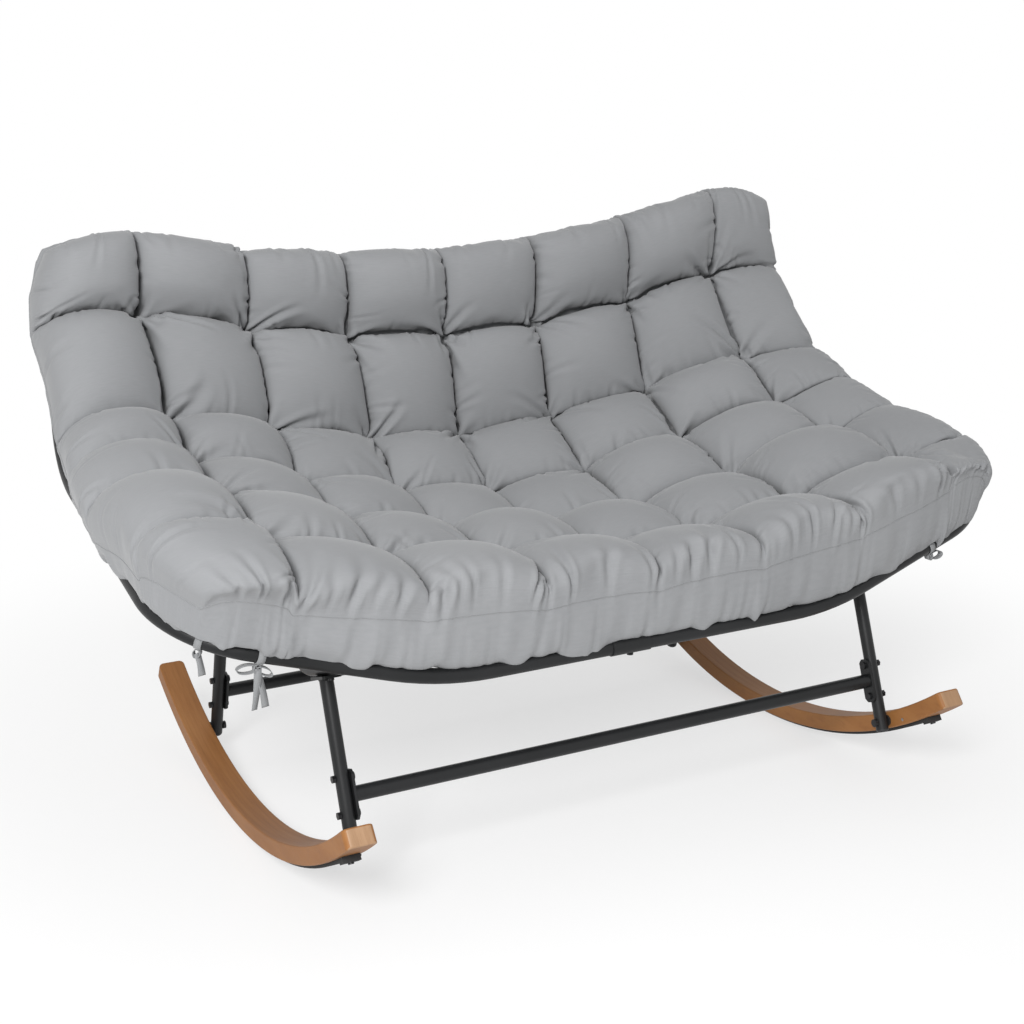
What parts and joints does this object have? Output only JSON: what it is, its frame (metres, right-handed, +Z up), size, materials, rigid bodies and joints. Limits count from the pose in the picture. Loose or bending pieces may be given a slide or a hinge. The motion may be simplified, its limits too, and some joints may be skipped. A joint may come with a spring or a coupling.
{
  "type": "double rocking chair",
  "caption": "Two-seat rocking chair: bent-tube frame with a hoop round a tufted cushion, leaning tube legs, stretchers and flat bent-wood rockers with grip strips.",
  "frame": {"origin": "on the floor, midway between the two rockers, where they touch it at rest", "axes": "+X to the right as seen from the front, along the seat's width; +Y from the front to the backrest; +Z up"},
  "size_m": [1.432, 0.8865, 0.9073],
  "materials": {
    "frame_black": "satin",
    "fastener_black": "satin",
    "black_plastic": "matte",
    "rocker_wood": "satin",
    "strip_rubber": "matte",
    "insert_brass": "satin",
    "pin_steel": "satin",
    "cushion_fabric": "matte",
    "tape_fabric": "matte"
  },
  "bodies": {
    "root": {"cushion": "cushion_fabric", "leg_bolts": "fastener_black", "leg_caps": "black_plastic", "leg_front_left": "frame_black", "leg_front_right": "frame_black", "leg_rear_left": "frame_black", "leg_rear_right": "frame_black", "leg_washers": "black_plastic", "rib_centre": "frame_black", "rib_left": "frame_black", "rib_right": "frame_black", "rim_left": "frame_black", "rim_right": "frame_black", "rim_screws": "fastener_black", "rocker_inserts": "insert_brass", "rocker_left": "rocker_wood", "rocker_pins": "pin_steel", "rocker_right": "rocker_wood", "rocker_strip_left": "strip_rubber", "rocker_strip_right": "strip_rubber", "saddle_bolts": "fastener_black", "saddle_plates": "frame_black", "stretcher_bolts": "fastener_black", "stretcher_front": "frame_black", "stretcher_front_plates": "frame_black", "stretcher_nuts": "fastener_black", "stretcher_rear": "frame_black", "stretcher_rear_plates": "frame_black", "strip_blocks": "strip_rubber", "strip_screws": "fastener_black", "tie_bow_left": "tape_fabric", "tie_loop_right": "tape_fabric", "tie_tail_left": "tape_fabric"}
  },
  "joints": []
}
